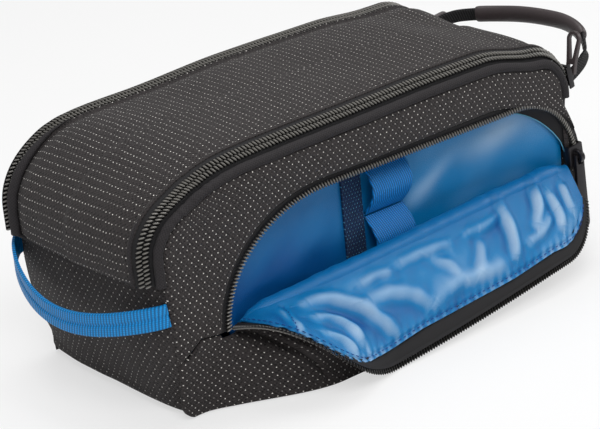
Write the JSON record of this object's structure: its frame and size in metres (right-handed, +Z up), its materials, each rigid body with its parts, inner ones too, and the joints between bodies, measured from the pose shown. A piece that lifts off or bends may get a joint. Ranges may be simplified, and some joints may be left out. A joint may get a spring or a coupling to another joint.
{
  "type": "toiletry bag",
  "caption": "Soft rectangular toiletry bag with a two-way zipped lid, zipped front pocket with a fold-down flap, grab strap and carry handle.",
  "frame": {"origin": "centre of the flat base, on the floor", "axes": "+X along the bag towards the carry handle, -Y out of the front pocket, +Z up through the lid"},
  "size_m": [0.301, 0.1472, 0.1153],
  "materials": {
    "cloth": "woven, with a grid of small pale dots",
    "lining": "smooth satin lining",
    "trim": "plain matt tape",
    "navy_elastic": "woven elastic",
    "elastic": "ribbed elastic",
    "mesh": "open net",
    "webbing": "ribbed webbing",
    "black_webbing": "ribbed webbing",
    "piping": "plain cloth over a cord",
    "zip": "nylon coil on woven tape",
    "slider": "matt black enamel",
    "puller": "moulded, satin",
    "grip": "moulded, satin"
  },
  "bodies": {
    "bag": {"front_panel": "cloth", "lower_front_panel": "cloth", "bottom_panel": "cloth", "back_panel": "cloth", "left_end_panel": "cloth", "right_end_panel": "cloth", "floor_lining": "lining", "back_lining": "lining", "front_lining": "lining", "left_lining": "lining", "right_lining": "lining", "pocket_lining": "lining", "elastic_backing_strip": "navy_elastic", "upper_elastic_loop": "elastic", "lower_elastic_loop": "elastic", "mesh_pocket": "mesh", "mesh_pocket_binding": "webbing", "grab_strap": "webbing", "front_piping": "piping", "rear_piping": "piping", "front_zip_body_side": "zip", "rear_zip_body_side": "zip", "pocket_zip_body_side": "zip", "handle_anchor_front": "black_webbing", "handle_anchor_rear": "black_webbing"},
    "lid": {"lid_panel": "cloth", "lid_lining": "lining", "front_zip_lid_side": "zip", "rear_zip_lid_side": "zip"},
    "flap": {"flap_panel": "cloth", "flap_lining": "lining", "flap_facing": "trim", "pocket_zip_flap_side": "zip"},
    "handle": {"handle_webbing": "black_webbing", "handle_grip": "grip"},
    "front_slider": {"front_slider": "slider"},
    "rear_slider": {"rear_slider": "slider"},
    "pocket_slider": {"pocket_slider": "slider"},
    "front_puller": {"front_puller": "puller"},
    "rear_puller": {"rear_puller": "puller"},
    "pocket_puller": {"pocket_puller": "slider"}
  },
  "joints": [
    {"name": "lid_hinge", "type": "hinge", "parent": "bag", "child": "lid", "pos_m": [-0.125, 0, 0.066], "axis": [0, -1, 0], "range_deg": [0, 90]},
    {"name": "pocket_flap_hinge", "type": "hinge", "parent": "bag", "child": "flap", "pos_m": [-0.088, -0.0574, 0.034], "axis": [-0.9988, 0, -0.048], "range_deg": [0, 141]},
    {"name": "handle_hinge", "type": "hinge", "parent": "bag", "child": "handle", "pos_m": [0.12975, 0, 0.07815], "axis": [0, -1, 0], "range_deg": [-100, 0]},
    {"name": "front_slider_run", "type": "hinge", "parent": "bag", "child": "front_slider", "pos_m": [0.104, -0.0517, 0.09], "axis": [0, -1, 0], "range_deg": [0, 60]},
    {"name": "rear_slider_run", "type": "hinge", "parent": "bag", "child": "rear_slider", "pos_m": [0.104, 0.0517, 0.09], "axis": [0, -1, 0], "range_deg": [0, 60]},
    {"name": "pocket_slider_run", "type": "hinge", "parent": "bag", "child": "pocket_slider", "pos_m": [0.09, -0.05615, 0.047], "axis": [0, -1, 0], "range_deg": [0, 75]},
    {"name": "front_puller_swing", "type": "hinge", "parent": "front_slider", "child": "front_puller", "pos_m": [0.12914, -0.0517, 0.09534], "axis": [0, 1, 0], "range_deg": [0, 60]},
    {"name": "rear_puller_swing", "type": "hinge", "parent": "rear_slider", "child": "rear_puller", "pos_m": [0.12914, 0.0517, 0.09534], "axis": [0, -1, 0], "range_deg": [0, 60]},
    {"name": "pocket_puller_swing", "type": "hinge", "parent": "pocket_slider", "child": "pocket_puller", "pos_m": [0.12487, -0.06085, 0.05005], "axis": [-0.9962, 0, -0.0872], "range_deg": [0, 90]}
  ]
}
